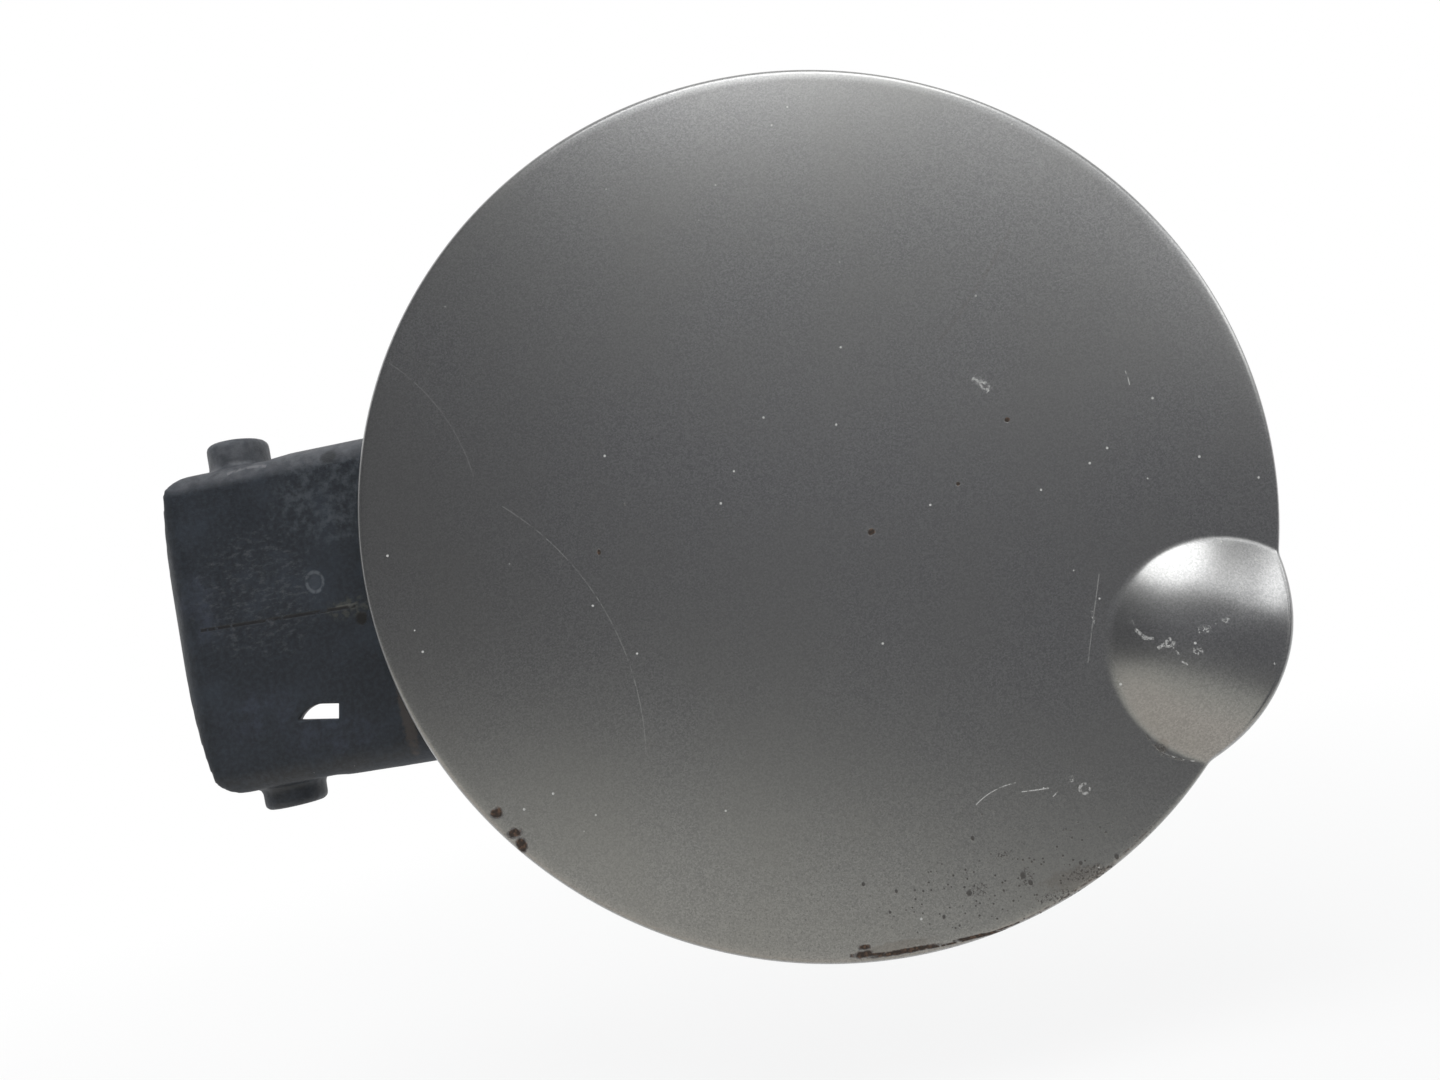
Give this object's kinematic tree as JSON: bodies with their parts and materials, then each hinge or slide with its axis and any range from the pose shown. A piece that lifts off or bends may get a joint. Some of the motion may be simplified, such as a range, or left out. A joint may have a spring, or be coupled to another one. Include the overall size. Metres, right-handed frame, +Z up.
{
  "type": "car fuel door",
  "caption": "Round painted steel fuel door with a raised thumb bulge at its rim, on a black moulded hinge arm with two pivot stubs.",
  "frame": {"origin": "centre of the upper pivot stub, on the hinge axis", "axes": "+Z up along the hinge axis, -Y out of the painted face, +X from the hinge towards the thumb bulge's side"},
  "size_m": [0.2185, 0.0399, 0.1698],
  "materials": {
    "leaf_paint": "silver grey metallic, semi-gloss, worn",
    "panel_coat": "thin body colour over primer, satin",
    "sealer": "matt",
    "arm_plastic": "weathered satin",
    "black_plastic": "matt",
    "zinc": "zinc plated",
    "spring_steel": "dull",
    "buffer_rubber": "matt"
  },
  "bodies": {
    "root": {"outer_skin": "leaf_paint", "inner_panel": "panel_coat", "hem_sealer": "sealer", "hinge_arm": "arm_plastic", "arm_screw_1": "zinc", "arm_screw_2": "zinc", "arm_screw_3": "zinc", "arm_screw_4": "zinc", "weld_nut_1": "zinc", "weld_nut_2": "zinc", "weld_nut_3": "zinc", "weld_nut_4": "zinc", "leaf_spring": "spring_steel", "spring_rivet": "zinc", "lock_catch": "black_plastic", "catch_rivet_1": "zinc", "catch_rivet_2": "zinc", "bump_stop_1": "buffer_rubber", "bump_stop_2": "buffer_rubber", "cap_holder": "black_plastic"}
  },
  "joints": []
}
